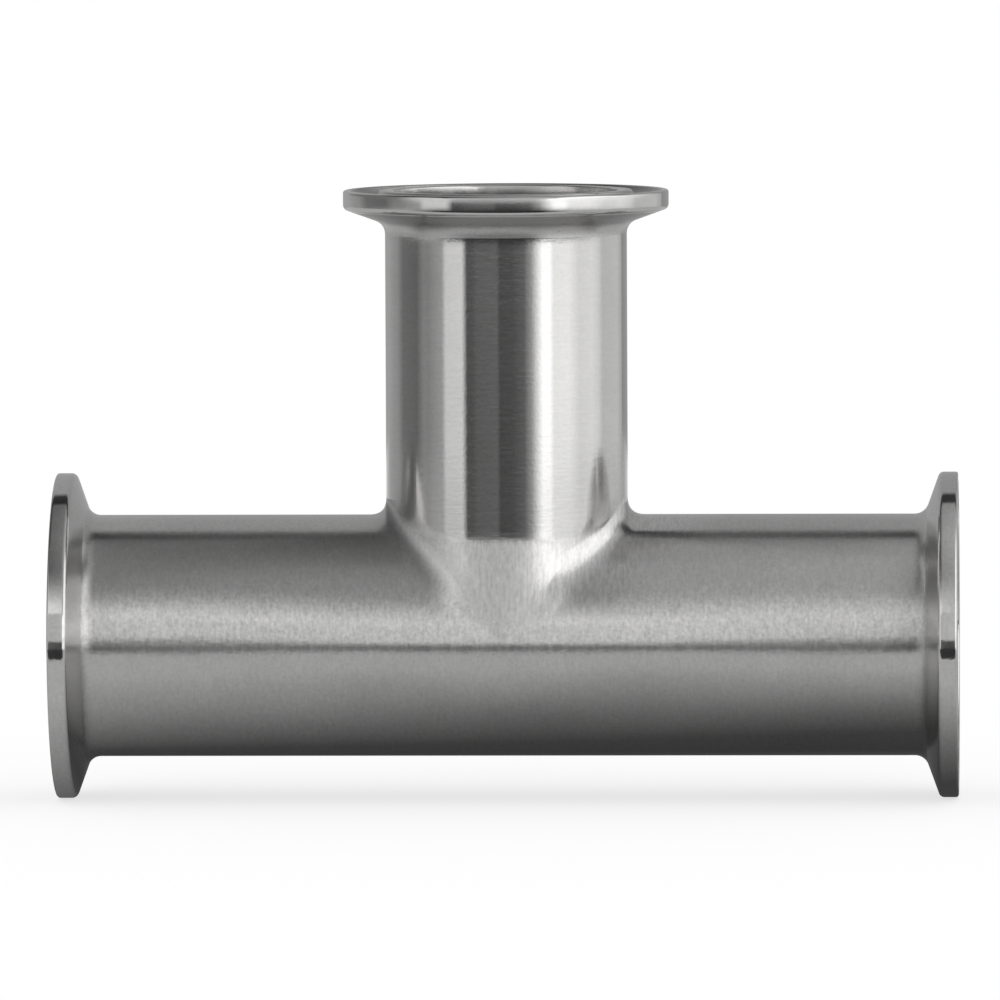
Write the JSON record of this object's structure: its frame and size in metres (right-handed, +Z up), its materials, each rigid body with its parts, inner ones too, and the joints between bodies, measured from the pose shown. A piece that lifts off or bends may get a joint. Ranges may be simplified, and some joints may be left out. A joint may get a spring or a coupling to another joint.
{
  "type": "sanitary clamp tee fitting",
  "caption": "Equal-bore tee in stainless steel tube with a grooved clamp ferrule welded to each end, for joining hygienic pipework with clamps and gaskets.",
  "frame": {"origin": "where the run axis and the branch axis cross", "axes": "+X along the run, towards the right ferrule; +Z up the branch; +Y away from the viewer who has the branch up"},
  "size_m": [0.14, 0.0504, 0.0945],
  "materials": {
    "tube": "ground and brushed round the tube, smoother up the branch",
    "ferrule": "turned and polished",
    "weld": "dressed flush and brushed with the tube"
  },
  "bodies": {
    "root": {"run_tube": "tube", "branch_stub": "tube", "ferrule_left": "ferrule", "ferrule_right": "ferrule", "ferrule_branch": "ferrule", "weld_left": "weld", "weld_right": "weld", "weld_collar": "weld", "weld_branch": "weld"}
  },
  "joints": []
}
